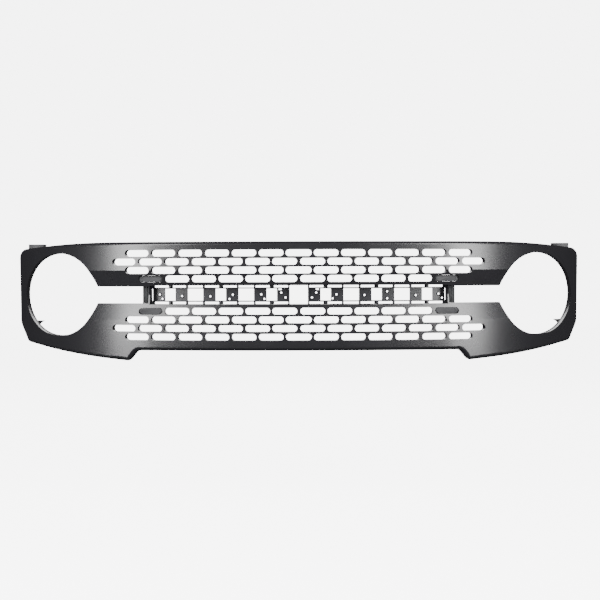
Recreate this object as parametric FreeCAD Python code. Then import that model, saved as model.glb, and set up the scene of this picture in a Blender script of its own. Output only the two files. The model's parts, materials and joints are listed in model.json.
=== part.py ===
"""Front grille of an off-road car: one wide moulded shell with a slotted field above and below a
letter band, a round lamp opening at each end, and the pieces that are fitted to the shell.

Millimetres.  +X is to the right seen from the front, +Y points rearwards, +Z is up.  Everything is
drawn about the centre of the letter band on the foremost line of the face.  Each piece is then
moved so that the origin lies midway between the two inner bolt holes, on top of the top flange.
"""

import FreeCAD
import Part

import math
import os

from FreeCAD import Vector

# ---- Plan curve of the face: a shallow middle arc that runs into a tighter arc at each end
MIDDLE_RADIUS = 3450.0
MIDDLE_HALF = 385.0
END_RADIUS = 730.0

# ---- Slotted fields
SLOT_LENGTH = 65.2
SLOT_HEIGHT = 17.6
SLOT_BAR = 6.0  # bar between two slots of a row
ROW_BAR = 5.0  # bar between two rows
ROWS = 4  # above the band, and as many below it
SLOTS_IN_FULL_ROW = 7  # each side of the centreline, in the even rows
CENTRE_SLOT_EXTRA = 1.3  # how much longer the middle slot of an odd row is, each way
LATTICE_DEPTH = 18.0
LATTICE_MARGIN = 4.0

# ---- Letter band
WINDOW_HALF = 24.2  # half the width of the camera window in the middle
LETTERS_PER_SIDE = 3
PAD_WIDTH = 34.0
LETTER_OPENING = 27.5  # between the two pads of one letter
LETTER_GAP = 41.0  # between two letters
BAND_HALF_HEIGHT = 25.2
BAND_DEPTH = 58.0
BEVEL_DEPTH = 13.0  # how far the face falls back from the crease to the band
SILL = 8.75  # plain strip between the band and the nearest slots

# ---- Lamp openings
LAMP_RADIUS = 112.5
LAMP_TO_SIDE = 28.5  # face left outside the lamp opening
LAMP_FLARE_RADIUS = 224.0  # arc that leads from the lamp circle into the notch
LAMP_COLLAR_DEPTH = 30.0
NOTCH_HALF_HEIGHT = 22.4
NOTCH_TO_LAMP = 116.0  # from the lamp centre to the notch corner

# ---- Outer shape
HALF_WIDTH = 798.0
WALL = 3.0
RIM_DEPTH = 30.0
EDGE_ROLL = 11.0
TOP_RAIL = 21.5
BOTTOM_RAIL = 27.1
TOP_BEND_RUN = 96.0  # from the bend of the top edge over the lamp to each end of its arc
SHOULDER_OVER_LAMP = 14.0
SHOULDER_RADIUS = 26.0
SIDE_LEAN = 5.0
SIDE_FOOT_Z = -82.0
SIDE_FOOT_RADIUS = 40.0
CORNER_IN = 34.5
CORNER_UNDER_LAMP = 22.0
CORNER_RADIUS = 14.0
BLEND_TO_LAMP = 53.0  # where the top and the chin bend, inboard of the lamp centre
CHIN_MIDDLE_UNDER_LAMP = 49.0
CHIN_BEND_RUN = 105.0
CHIN_UNDER_LAMP = 62.0
CHIN_TO_LAMP = 208.0
CHIN_TIP_RADIUS = 13.0
CHIN_STEP = 23.0
CHIN_STEP_RADIUS = 20.0

# ---- Fixings of the shell to the car
FLANGE_DEPTH = 72.0
FLANGE_HALF = 455.0
BOLT_HOLES_X = (75.0, 230.0, 400.0)
BOLT_LINE = 50.0  # bolt holes behind the plan curve
BOLT_RADIUS = 3.3
BUSH_RADIUS = 5.5
BUSH_HEIGHT = 9.0
BOSS_WALL = 2.2
CLIP_BLADES_X = (120.0, 330.0, 570.0)
BLADE_WIDTH = 22.0
BLADE_THICKNESS = 3.0
BLADE_DEPTH = 62.0
BLADE_ROOT = 31.0  # depth of the curved root that the straight blade grows out of
BLADE_OVER_EDGE = 9.0
CLIP_SHEET = 0.8
CLIP_WIDTH = 14.0
CLIP_LENGTH = 17.0
CLIP_WING = 5.0
CLIP_MOUTH = CLIP_LENGTH / 3  # from the bend to the root of a wing

# ---- Gaps
FIT = 0.2  # between two plastic pieces that sit in each other
SCREW_FIT = 0.05  # radial gap between a screw and its hole
NUT_FIT = 0.5  # radial gap between the bolt of a bracket nut and the shelf over it
OVERLAP = 1.0  # how far shapes that are joined or cut run past each other
ON_FACE = 0.05  # an edge this close to the face counts as lying on it
SEAM = 0.01  # an edge this close to the plane where two plan arcs meet is only their seam
SAME_POINT = 1e-6

# ---- Letter carriers
PAD_THICKNESS = 3.0
PAD_DEPTH = 50.0
RAIL_HALF_HEIGHT = 19.2
RAIL_HEIGHT = 3.2
RAIL_FRONT = 46.0
RIB_THICKNESS = 4.4
RIB_SPACES = 8
RIB_FRONT = 40.0
EAR_THICKNESS = 3.0
EAR_WIDTH = 12.0
EAR_LIP = 2.0
EAR_SCREW_OUT = 4.6  # screw axis outside the band wall's inner face
EAR_TO_SLOT = 0.8
SCREWED_RIBS = (1, 4, 7)
PIN_RADIUS = 2.6
PIN_BOSS_WALL = 2.6
PIN_BOSS_OUT = 2.0  # how far the boss stands in front of its pad
PIN_BOSS_LENGTH = 6.0
POCKET_WIDTH = 8.0
POCKET_HEIGHT = 3.6

# Letter pin holes on each pad: distance from the pad's inner edge, height
LEFT_PINS = (
    ((11.0, -8.0), (22.5, 5.0)),
    ((14.5, 0.5), (6.0, -11.5)),
    ((15.5, 0.0), (24.5, -11.5)),
    ((14.5, -4.5),),
    ((16.0, -3.5),),
    ((15.0, 0.5), (8.0, -11.0)),
)
RIGHT_PINS = (
    ((11.0, -8.0), (22.5, 5.0)),
    ((15.0, 0.0), (4.5, -10.5)),
    ((15.0, -2.0),),
    ((14.5, 7.5), (14.5, -11.0)),
    ((17.0, -3.0),),
    ((17.5, 0.5), (27.0, -10.5)),
)

# ---- Screws: shank radius, length under the head, head radius, head height
CARRIER_SCREW = (1.25, 14.0, 3.0, 2.0)
FRAME_SCREW = (1.75, 16.0, 4.4, 2.8)
RECESS_ARM = 0.25  # width of an arm of the cross recess, as a share of the head radius
RECESS_SPAN = 1.2  # length of an arm, as a share of the head radius

# ---- Slot blanks
BLANK_SETBACK = 5.0
BLANK_THICKNESS = 3.0
BLANK_RIDGE = 1.2
BLANK_RIDGE_WIDTH = 2.0
BLANK_RIDGE_RUN = 7.0
BLANK_RIDGE_REACH = 0.36  # height of a chevron arm, as a share of the blank
BLANK_RIDGE_NOSE = 3.0
BLANK_LEG_WIDTH = 8.0
BLANK_LEG_THICKNESS = 2.0
BLANK_LEG_SPACING = 30.0
BLANK_HOOK = 1.6

# ---- Lamp bar buffers
BUFFER_WIDTH = 17.0
BUFFER_FRONT = 24.0
BUFFER_BACK = 50.0
BUFFER_GROOVES = 3
BUFFER_GROOVE = 1.8
PEG_RADIUS = 3.0
PEG_Z = 12.0
PEG_HEAD_RADIUS = 4.2
PEG_TIP_RADIUS = 2.0
PEG_HEAD_LENGTH = 3.0

# ---- Lamp locators
LOCATOR_ANGLE = -46.0
LOCATOR_PLATE = 3.0
LOCATOR_SCREW_OUT = 13.0
FIN_TIP = (65.5, -75.5)  # across and up from the lamp centre
FIN_TOP = (88.0, -75.0)
FIN_UNDER = (75.5, -82.5)
FRAME_BOSS_WALL = 2.8

# ---- Corner brackets
BRACKET_THICKNESS = 3.0
BRACKET_HALF_WIDTH = 22.0
BRACKET_TO_SIDE = 45.0
BRACKET_UP = 12.0  # over the top edge of the shell
BRACKET_DOWN = 30.0
BRACKET_SHELF = 25.0
BRACKET_GAP = 1.0  # between the rim of the shell and the plate
BRACKET_SCREW_SPACING = 30.0
BRACKET_SCREW_DOWN = 21.0
BRACKET_GUSSET = 3.0
NUT_BORE = 2.5
NUT_RADIUS = 5.0
NUT_HEIGHT = 5.0

# ---- Worked out from the sizes above
SLOT_PITCH = SLOT_LENGTH + SLOT_BAR
ROW_PITCH = SLOT_HEIGHT + ROW_BAR
FIRST_ROW_Z = BAND_HALF_HEIGHT + SILL + SLOT_HEIGHT / 2
CREASE_Z = FIRST_ROW_Z + ROW_PITCH
FIELD_TOP = FIRST_ROW_Z + (ROWS - 1) * ROW_PITCH + SLOT_HEIGHT / 2
FIELD_HALF = (SLOTS_IN_FULL_ROW - 0.5) * SLOT_PITCH + CENTRE_SLOT_EXTRA + SLOT_LENGTH / 2 + LATTICE_MARGIN
TOP_Z = FIELD_TOP + TOP_RAIL
BOTTOM_Z = -FIELD_TOP - BOTTOM_RAIL
BEVEL_SLOPE = BEVEL_DEPTH / (CREASE_Z - BAND_HALF_HEIGHT)
LETTER_PITCH = 2 * PAD_WIDTH + LETTER_OPENING + LETTER_GAP
CARRIER_END = WINDOW_HALF + LETTERS_PER_SIDE * LETTER_PITCH - LETTER_GAP
BAND_HALF = CARRIER_END + WALL
EAR_REACH = BAND_HALF_HEIGHT + SILL - EAR_TO_SLOT
NOTCH_END = BAND_HALF + WALL
LAMP_X = HALF_WIDTH - LAMP_TO_SIDE - LAMP_RADIUS
FAR = 600.0  # longer than any cut has to be


# ---------------------------------------------------------------- the plan curve and what follows it


def face_turn(x):
    """Angle that the face turns through about Z, from straight ahead to its direction at x, in radians."""
    turned = math.asin(min(abs(x), MIDDLE_HALF) / MIDDLE_RADIUS)
    if abs(x) > MIDDLE_HALF:
        turned = math.asin(math.sin(turned) + (abs(x) - MIDDLE_HALF) / END_RADIUS)
    return math.copysign(turned, x)


def plan_y(x):
    """How far the face lies behind its foremost line at x."""
    start = face_turn(min(abs(x), MIDDLE_HALF))
    middle = MIDDLE_RADIUS * (1 - math.cos(start))
    return middle + END_RADIUS * (math.cos(start) - math.cos(face_turn(x)))


def plan_line(x0, x1, offset):
    """The plan curve from x0 to x1 as arcs, moved rearwards by offset."""
    bends = [x0] + [x for x in (-MIDDLE_HALF, MIDDLE_HALF) if x0 < x < x1] + [x1]
    arcs = []
    for a, b in zip(bends, bends[1:]):
        points = [Vector(x, plan_y(x) + offset, 0) for x in (a, (a + b) / 2, b)]
        arcs.append(Part.Arc(*points).toShape())
    return arcs


def plan_face(front, back, x0, x1):
    """Flat strip in the XY plane between two copies of the plan curve."""
    ends = []
    for x in (x0, x1):
        ends.append(Part.makeLine(Vector(x, plan_y(x) + front, 0), Vector(x, plan_y(x) + back, 0)))
    edges = plan_line(x0, x1, front) + ends + plan_line(x0, x1, back)
    return Part.Face(Part.Wire(Part.__sortEdges__(edges)))


def through(face):
    """Prism of a front-view face along Y, longer than the part is deep."""
    moved = face.copy()
    moved.translate(Vector(0, -FAR / 2, 0))
    return moved.extrude(Vector(0, 2 * FAR, 0))


def between(face, front, back):
    """A front-view face given depth, from one copy of the plan curve to another."""
    box = face.BoundBox
    strip = plan_face(front, back, box.XMin - OVERLAP, box.XMax + OVERLAP)
    strip.translate(Vector(0, 0, box.ZMin - OVERLAP))
    layer = strip.extrude(Vector(0, 0, box.ZLength + 2 * OVERLAP))
    return layer.common(through(face))


def slab(face, front, back):
    """A front-view face given depth between two flat planes."""
    moved = face.copy()
    moved.translate(Vector(0, front, 0))
    return moved.extrude(Vector(0, back - front, 0))


def square_to_face(shape, x):
    """A shape drawn about x = 0 on the plane y = 0, turned and moved on to the face at x."""
    placed = shape.copy()
    placed.rotate(Vector(), Vector(0, 0, 1), math.degrees(face_turn(x)))
    placed.translate(Vector(x, plan_y(x), 0))
    return placed


def bevel_sector(axis, radius, first, last):
    """What lies in front of the bevels along one plan arc, from one angle to another about its axis."""
    outwards = Vector(math.sin(first), -math.cos(first), 0)
    front = radius + FAR / 2
    corners = (
        (radius, CREASE_Z),
        (radius - CREASE_Z * BEVEL_SLOPE, 0),
        (radius, -CREASE_Z),
        (front, -CREASE_Z),
        (front, CREASE_Z),
    )
    points = [axis + outwards * r + Vector(0, 0, z) for r, z in corners]
    face = Part.Face(Part.makePolygon(points + points[:1]))
    return face.revolve(axis, Vector(0, 0, 1), math.degrees(last - first))


def bevel_cutters(offset):
    """What lies in front of the two bevels, moved rearwards by offset, that fall back to the band."""
    turn = face_turn(MIDDLE_HALF)
    last = face_turn(LAMP_X)
    middle_axis = Vector(0, MIDDLE_RADIUS + offset, 0)
    radial = Vector(math.sin(turn), -math.cos(turn), 0)
    end_axis = middle_axis + radial * (MIDDLE_RADIUS - END_RADIUS)
    middle = bevel_sector(middle_axis, MIDDLE_RADIUS, -turn, turn)
    return [middle] + both(bevel_sector(end_axis, END_RADIUS, turn, last))


# ---------------------------------------------------------------- outlines seen from the front


def rounded(corners):
    """Closed face in the XZ plane from corners (x, z, radius)."""
    points = [Vector(x, 0, z) for x, z, radius in corners]
    radii = [radius for x, z, radius in corners]
    runs, arcs = [], []
    for i, here in enumerate(points):
        back = (points[i - 1] - here).normalize()
        ahead = (points[(i + 1) % len(points)] - here).normalize()
        if not radii[i]:
            runs.append((here, here))
            continue
        half_angle = back.getAngle(ahead) / 2
        tangent = radii[i] / math.tan(half_angle)
        bisector = (back + ahead).normalize()
        first, last = here + back * tangent, here + ahead * tangent
        middle = here + bisector * (radii[i] / math.sin(half_angle) - radii[i])
        arcs.append(Part.Arc(first, middle, last).toShape())
        runs.append((first, last))
    lines = []
    for i, (first, last) in enumerate(runs):
        if (first - runs[i - 1][1]).Length > SAME_POINT:
            lines.append(Part.makeLine(runs[i - 1][1], first))
    return Part.Face(Part.Wire(Part.__sortEdges__(arcs + lines)))


def box_face(x0, x1, z0, z1):
    """Rectangle seen from the front."""
    z0, z1 = sorted((z0, z1))
    return rounded([(x0, z0, 0), (x1, z0, 0), (x1, z1, 0), (x0, z1, 0)])


def disc(x, z, radius):
    """Disc seen from the front."""
    return Part.Face(Part.Wire(Part.makeCircle(radius, Vector(x, 0, z), Vector(0, -1, 0))))


def pill(x, z, length, height):
    """Slot outline with round ends."""
    straight = length / 2 - height / 2
    edges = []
    for side in (1, -1):
        low = Vector(x + side * straight, 0, z - height / 2)
        high = Vector(x + side * straight, 0, z + height / 2)
        tip = Vector(x + side * length / 2, 0, z)
        edges.append(Part.Arc(low, tip, high).toShape())
    for end in (-height / 2, height / 2):
        edges.append(Part.makeLine(Vector(x - straight, 0, z + end), Vector(x + straight, 0, z + end)))
    return Part.Face(Part.Wire(Part.__sortEdges__(edges)))


def bend(before, corner, after, run):
    """Corner (x, z, radius) between two others whose arc starts and ends at the given distance from it."""
    back = Vector(before[0] - corner[0], 0, before[1] - corner[1])
    ahead = Vector(after[0] - corner[0], 0, after[1] - corner[1])
    return corner[0], corner[1], run * math.tan(back.getAngle(ahead) / 2)


def shell_outline():
    """Silhouette of the shell."""
    chin_end = LAMP_X - CHIN_TO_LAMP
    over_lamp = (LAMP_X - BLEND_TO_LAMP, TOP_Z)
    shoulder = (HALF_WIDTH, LAMP_RADIUS + SHOULDER_OVER_LAMP, SHOULDER_RADIUS)
    foot = (HALF_WIDTH - CORNER_IN, -LAMP_RADIUS - CORNER_UNDER_LAMP, CORNER_RADIUS)
    under_lamp = (LAMP_X - BLEND_TO_LAMP, -LAMP_RADIUS - CHIN_MIDDLE_UNDER_LAMP)
    tip = (chin_end, -LAMP_RADIUS - CHIN_UNDER_LAMP, CHIN_TIP_RADIUS)
    right = [
        bend((0, TOP_Z), over_lamp, shoulder, TOP_BEND_RUN),
        shoulder,
        (HALF_WIDTH - SIDE_LEAN, SIDE_FOOT_Z, SIDE_FOOT_RADIUS),
        foot,
        bend(foot, under_lamp, tip, CHIN_BEND_RUN),
        tip,
        (chin_end - CHIN_STEP, BOTTOM_Z, CHIN_STEP_RADIUS),
    ]
    left = [(-x, z, radius) for x, z, radius in reversed(right)]
    return rounded(right + left)


def outline_heights(x):
    """Lowest and highest point of the silhouette at x."""
    line = Part.makeLine(Vector(x, 0, -FAR), Vector(x, 0, FAR))
    box = shell_outline().common(line).BoundBox
    return box.ZMin, box.ZMax


def lamp_opening():
    """Right lamp circle, the flares that lead to the notch corners, and the notch to the band's end."""
    centre = Vector(LAMP_X, 0, 0)
    corner = Vector(LAMP_X - NOTCH_TO_LAMP, 0, NOTCH_HALF_HEIGHT)
    ahead = corner - centre
    span = ahead.Length
    inner = LAMP_FLARE_RADIUS - LAMP_RADIUS
    along = (inner**2 - LAMP_FLARE_RADIUS**2 + span**2) / (2 * span)
    ahead.normalize()
    across = Vector(ahead.z, 0, -ahead.x) * math.sqrt(max(inner**2 - along**2, 0.0))
    pivot = min((centre + ahead * along + across, centre + ahead * along - across), key=lambda p: p.z)
    touch = pivot + (centre - pivot).normalize() * LAMP_FLARE_RADIUS
    middle = pivot + ((touch + corner) * 0.5 - pivot).normalize() * LAMP_FLARE_RADIUS
    end = Vector(NOTCH_END, 0, NOTCH_HALF_HEIGHT)

    def low(point):
        return Vector(point.x, 0, -point.z)

    edges = [
        Part.Arc(touch, Vector(LAMP_X + LAMP_RADIUS, 0, 0), low(touch)).toShape(),
        Part.Arc(low(touch), low(middle), low(corner)).toShape(),
        Part.makeLine(low(corner), low(end)),
        Part.makeLine(low(end), end),
        Part.makeLine(end, corner),
        Part.Arc(corner, middle, touch).toShape(),
    ]
    return Part.Face(Part.Wire(edges))


def ring(face, width):
    """Band of the given width around a front-view face."""
    return face.makeOffset2D(width).cut(face)


def mirrored(shape):
    """Mirror image in the plane x = 0."""
    return shape.mirror(Vector(), Vector(1, 0, 0))


def both(shape):
    """A shape and its mirror image."""
    return [shape, mirrored(shape)]


# ---------------------------------------------------------------- slots


def slot_places(row):
    """Slot centres and lengths in a row, counted from the band outwards."""
    count = SLOTS_IN_FULL_ROW - 1
    if row % 2:
        places = [(0.0, SLOT_LENGTH + 2 * CENTRE_SLOT_EXTRA)]
        rights = [(k * SLOT_PITCH + CENTRE_SLOT_EXTRA, SLOT_LENGTH) for k in range(1, count + 1)]
    else:
        places = []
        count += 1 if row else 0
        rights = [((k + 0.5) * SLOT_PITCH + CENTRE_SLOT_EXTRA, SLOT_LENGTH) for k in range(count)]
    return places + rights + [(-x, length) for x, length in rights]


def row_z(row, side):
    """Height of a row's centreline above the band, or below it."""
    return side * (FIRST_ROW_Z + row * ROW_PITCH)


def slots():
    """All slots, the blanked ones included, as prisms that stand square to the face."""
    prisms = []
    for side in (1, -1):
        for row in range(ROWS):
            for x, length in slot_places(row):
                outline = pill(0, row_z(row, side), length, SLOT_HEIGHT)
                prisms.append(square_to_face(slab(outline, -LATTICE_DEPTH, 2 * LATTICE_DEPTH), x))
    return prisms


# ---------------------------------------------------------------- screws, bosses and holes


def rod(x, y, z, radius, length, axis=Vector(0, 1, 0)):
    """Cylinder that starts at a point and runs rearwards, or along another axis."""
    return Part.makeCylinder(radius, length, Vector(x, y, z), axis)


def screw(x, y, z, size):
    """Screw that points forwards, with the underside of its head at y, and a cross recess."""
    shank, length, head, height = size
    solid = rod(x, y - length, z, shank, length + height).fuse(rod(x, y, z, head, height))
    arm, span = head * RECESS_ARM, head * RECESS_SPAN
    for wide, tall in ((span, arm), (arm, span)):
        corner = Vector(x - wide / 2, y + height / 2, z - tall / 2)
        solid = solid.cut(Part.makeBox(wide, height, tall, corner))
    return solid


def frame_boss(x, y_end, z):
    """Round boss on the back of the skin that ends at y_end."""
    boss = between(disc(x, z, FRAME_SCREW[0] + FRAME_BOSS_WALL), WALL / 2, FAR / 2)
    return boss.common(in_front_of(y_end))


def in_front_of(y):
    """Everything in front of a plane."""
    return Part.makeBox(4 * FAR, 2 * FAR, 2 * FAR, Vector(-2 * FAR, y - 2 * FAR, -FAR))


def locator_place():
    """Axis of the right locator's screw, and the plane that its boss ends on."""
    turn = math.radians(LOCATOR_ANGLE)
    out = LAMP_RADIUS + WALL + LOCATOR_SCREW_OUT
    x = LAMP_X + out * math.cos(turn)
    return x, plan_y(x) + LAMP_COLLAR_DEPTH, out * math.sin(turn)


def bracket_place():
    """Middle of the right bracket, the plane that it seats on, and the top edge of the shell there."""
    x = HALF_WIDTH - BRACKET_TO_SIDE
    return x, plan_y(x + BRACKET_HALF_WIDTH) + RIM_DEPTH + BRACKET_GAP, outline_heights(x)[1]


def bracket_screws_at():
    """Points where the right bracket's screws cross the plane that it seats on."""
    x, y, top = bracket_place()
    return [(x + side * BRACKET_SCREW_SPACING / 2, y, top - BRACKET_SCREW_DOWN) for side in (1, -1)]


def carrier_ears():
    """Places of the screwed ears on the right carrier: x, and the side of the band."""
    return [(rib_x(rib), side) for rib in SCREWED_RIBS for side in (1, -1)]


# ---------------------------------------------------------------- the shell


def blank_body(inset):
    """Solid silhouette with a rolled front edge, inset and set back by the same amount."""
    face = shell_outline().makeOffset2D(-inset) if inset else shell_outline()
    solid = between(face, inset, RIM_DEPTH + inset)
    roll = []
    for edge in solid.Edges:
        middle = edge.valueAt((edge.FirstParameter + edge.LastParameter) / 2)
        seam = abs(abs(middle.x) - MIDDLE_HALF) < SEAM and edge.BoundBox.XLength < SEAM
        if abs(middle.y - plan_y(middle.x) - inset) < ON_FACE and not seam:
            roll.append(edge)
    return solid.makeFillet(EDGE_ROLL - inset, roll)


def blades():
    """Blades under the shell that the spring clips are pushed on: x, the blade's middle height, its end."""
    places = []
    for x in CLIP_BLADES_X:
        z = outline_heights(x)[0] + BLADE_OVER_EDGE + BLADE_THICKNESS / 2
        places.append((x, z, plan_y(x) + BLADE_DEPTH))
    return places


def shell_additions():
    """Everything on the right half of the shell behind its skin, and what spans both halves."""
    added = []
    for side in (1, -1):
        near, far = side * (BAND_HALF_HEIGHT + OVERLAP), side * (FIELD_TOP + LATTICE_MARGIN)
        added.append(between(box_face(-FIELD_HALF, FIELD_HALF, near, far), WALL / 2, LATTICE_DEPTH))
    band = box_face(-BAND_HALF, BAND_HALF, -BAND_HALF_HEIGHT, BAND_HALF_HEIGHT)
    wall = box_face(-NOTCH_END, NOTCH_END, -BAND_HALF_HEIGHT - WALL, BAND_HALF_HEIGHT + WALL)
    added.append(between(wall.cut(band), WALL / 2, BAND_DEPTH))
    added.extend(both(between(ring(lamp_opening(), WALL), WALL / 2, LAMP_COLLAR_DEPTH)))
    flange = box_face(-FLANGE_HALF, FLANGE_HALF, TOP_Z - WALL, TOP_Z)
    added.append(between(flange, RIM_DEPTH - WALL, FLANGE_DEPTH))
    right = []
    for x in BOLT_HOLES_X:
        base = Vector(x, plan_y(x) + BOLT_LINE, TOP_Z - BUSH_HEIGHT)
        right.append(Part.makeCylinder(BUSH_RADIUS + BOSS_WALL, BUSH_HEIGHT, base))
    for x, z, end in blades():
        left, under = x - BLADE_WIDTH / 2, z - BLADE_THICKNESS / 2
        section = box_face(left, left + BLADE_WIDTH, under, under + BLADE_THICKNESS)
        right.append(between(section, WALL / 2, BLADE_ROOT))
        right.append(slab(section, plan_y(x) + BLADE_ROOT / 2, end))
    for x, side in carrier_ears():
        near, far = side * (BAND_HALF_HEIGHT + WALL / 2), side * EAR_REACH
        boss = box_face(x - EAR_WIDTH / 2, x + EAR_WIDTH / 2, near, far)
        right.append(between(boss, LATTICE_DEPTH - WALL, BAND_DEPTH))
    for x, y, z in bracket_screws_at() + [locator_place()]:
        right.append(frame_boss(x, y, z))
    for shape in right:
        added.extend(both(shape))
    return added


def shell_cuts():
    """Openings and holes of the shell."""
    cuts = bevel_cutters(0)
    cuts.append(through(box_face(-BAND_HALF, BAND_HALF, -BAND_HALF_HEIGHT, BAND_HALF_HEIGHT)))
    cuts.extend(both(through(lamp_opening())))
    cuts.extend(slots())
    right = []
    for x in BOLT_HOLES_X:
        base = Vector(x, plan_y(x) + BOLT_LINE, TOP_Z - BUSH_HEIGHT)
        right.append(Part.makeCylinder(BUSH_RADIUS, BUSH_HEIGHT + OVERLAP, base))
    for x, side in carrier_ears():
        right.append(screw_hole(x, ear_seat(x), ear_screw_z(side), CARRIER_SCREW, EAR_THICKNESS))
    for x, y, z in bracket_screws_at():
        right.append(screw_hole(x, y + BRACKET_THICKNESS, z, FRAME_SCREW, BRACKET_THICKNESS))
    x, y, z = locator_place()
    right.append(screw_hole(x, y + LOCATOR_PLATE, z, FRAME_SCREW, LOCATOR_PLATE))
    for side in (1, -1):
        start = BAND_HALF - OVERLAP
        right.append(rod(start, peg_y(), side * PEG_Z, PEG_RADIUS, WALL + 2 * OVERLAP, Vector(1, 0, 0)))
    for shape in right:
        cuts.extend(both(shape))
    return cuts


def grille_shell():
    """The moulded shell: skin, slotted lattice, collars, flanges, bosses and blades in one solid."""
    inner = blank_body(WALL).cut(bevel_cutters(WALL))
    skin = blank_body(0).cut(inner)
    solid = skin.fuse(shell_additions())
    return solid.cut(shell_cuts())


def screw_hole(x, y, z, size, plate):
    """Hole for a screw whose head sits at y on a plate of this thickness."""
    depth = size[1] + OVERLAP
    return rod(x, y - depth, z, size[0] + SCREW_FIT, depth + plate)


# ---------------------------------------------------------------- letter carriers


def rib_x(rib):
    """Middle of a rib of the right carrier."""
    first = WINDOW_HALF + RIB_THICKNESS / 2
    last = CARRIER_END - RIB_THICKNESS / 2
    return first + rib * (last - first) / RIB_SPACES


def ear_seat(x):
    """Plane under the heads of the carrier screws at x."""
    return plan_y(x) + BAND_DEPTH + EAR_THICKNESS


def ear_screw_z(side):
    """Height of the axis of a carrier screw above the band, or below it."""
    return side * (BAND_HALF_HEIGHT + EAR_SCREW_OUT)


def pad_starts():
    """Inner edges of the right carrier's pads."""
    starts = []
    for letter in range(LETTERS_PER_SIDE):
        near = WINDOW_HALF + letter * LETTER_PITCH
        starts.extend((near, near + PAD_WIDTH + LETTER_OPENING))
    return starts


def carrier_rail(side):
    """One rail of the right carrier, with its ribs and ears up to the band wall and over it."""
    inner = side * (RAIL_HALF_HEIGHT - RAIL_HEIGHT)
    ear_back = BAND_DEPTH + EAR_THICKNESS
    rail = box_face(WINDOW_HALF, CARRIER_END, inner, side * RAIL_HALF_HEIGHT)
    parts = [between(rail, RAIL_FRONT, BAND_DEPTH)]
    for rib in range(RIB_SPACES + 1):
        x = rib_x(rib)
        screwed = rib in SCREWED_RIBS
        half = EAR_WIDTH / 2 if screwed else RIB_THICKNESS / 2
        reach = EAR_REACH if screwed else BAND_HALF_HEIGHT + EAR_LIP
        web = box_face(x - RIB_THICKNESS / 2, x + RIB_THICKNESS / 2, inner, side * (BAND_HALF_HEIGHT - FIT))
        parts.append(between(web, RIB_FRONT, ear_back))
        parts.append(between(box_face(x - half, x + half, inner, side * reach), BAND_DEPTH, ear_back))
    return parts


def letter_carrier(pins):
    """Right letter carrier: two rails with ribs and ears, and a pad for each letter end."""
    half = RAIL_HALF_HEIGHT - RAIL_HEIGHT + OVERLAP
    post = box_face(WINDOW_HALF, WINDOW_HALF + RIB_THICKNESS, -half, half)
    parts = carrier_rail(1) + carrier_rail(-1) + [between(post, RAIL_FRONT, BAND_DEPTH)]
    cuts = []
    for start, holes in zip(pad_starts(), pins):
        pad = box_face(start, start + PAD_WIDTH, -half, half)
        parts.append(between(pad, PAD_DEPTH, PAD_DEPTH + PAD_THICKNESS))
        for inward, z in holes:
            x = start + inward
            front = plan_y(x) + PAD_DEPTH - PIN_BOSS_OUT
            parts.append(rod(x, front, z, PIN_RADIUS + PIN_BOSS_WALL, PIN_BOSS_LENGTH))
            cuts.append(through(disc(x, z, PIN_RADIUS)))
    pocket = WINDOW_HALF + PAD_WIDTH - RIB_THICKNESS - POCKET_WIDTH
    pocket_top = RAIL_HALF_HEIGHT - RAIL_HEIGHT
    cuts.append(through(box_face(pocket, pocket + POCKET_WIDTH, pocket_top - POCKET_HEIGHT, pocket_top)))
    for x, side in carrier_ears():
        z = ear_screw_z(side)
        cuts.append(screw_hole(x, ear_seat(x), z, CARRIER_SCREW, EAR_THICKNESS))
        cuts.append(rod(x, ear_seat(x), z, CARRIER_SCREW[2] + OVERLAP, EAR_THICKNESS))
    return parts[0].fuse(parts[1:]).cut(cuts)


def carrier_screws():
    """The right carrier's screws."""
    return [screw(x, ear_seat(x), ear_screw_z(side), CARRIER_SCREW) for x, side in carrier_ears()]


# ---------------------------------------------------------------- pieces that are fitted to the shell


def chevron_arm(tip, z, end, way, height):
    """One arm of the chevron near an end of a blank, which points to that end."""
    run = tip - end * BLANK_RIDGE_RUN
    reach = z + way * height * BLANK_RIDGE_REACH
    corners = [
        (tip, z, 0),
        (tip - end * BLANK_RIDGE_NOSE, z, 0),
        (run - end * BLANK_RIDGE_WIDTH, reach, 0),
        (run, reach, 0),
    ]
    return rounded(corners)


def slot_blank(side):
    """Right blank in the outermost slot of the row next to the band, with snap legs that hook behind it."""
    z = row_z(0, side)
    length, height = SLOT_LENGTH - 2 * FIT, SLOT_HEIGHT - 2 * FIT
    front = BLANK_SETBACK + (CREASE_Z - abs(z)) * BEVEL_SLOPE
    inside = front + OVERLAP
    hook_start = LATTICE_DEPTH + FIT
    hook_end = hook_start + BLANK_HOOK
    solid = slab(pill(0, z, length, height), front, front + BLANK_THICKNESS)
    for end in (1, -1):
        tip = end * (length / 2 - BLANK_RIDGE_WIDTH)
        leg_from = end * BLANK_LEG_SPACING / 2 - BLANK_LEG_WIDTH / 2
        leg_to = leg_from + BLANK_LEG_WIDTH
        for way in (1, -1):
            edge = z + way * height / 2
            root = edge - way * BLANK_LEG_THICKNESS
            arm = slab(chevron_arm(tip, z, end, way, height), front - BLANK_RIDGE, inside)
            leg = slab(box_face(leg_from, leg_to, root, edge), inside, hook_end)
            hook = slab(box_face(leg_from, leg_to, root, edge + way * BLANK_HOOK), hook_start, hook_end)
            solid = solid.fuse([arm, leg, hook])
    return square_to_face(solid, max(place for place, span in slot_places(0)))


def peg_y():
    """Height of the buffer pegs' axis along Y."""
    return plan_y(NOTCH_END) + (BUFFER_FRONT + BUFFER_BACK) / 2


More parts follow.
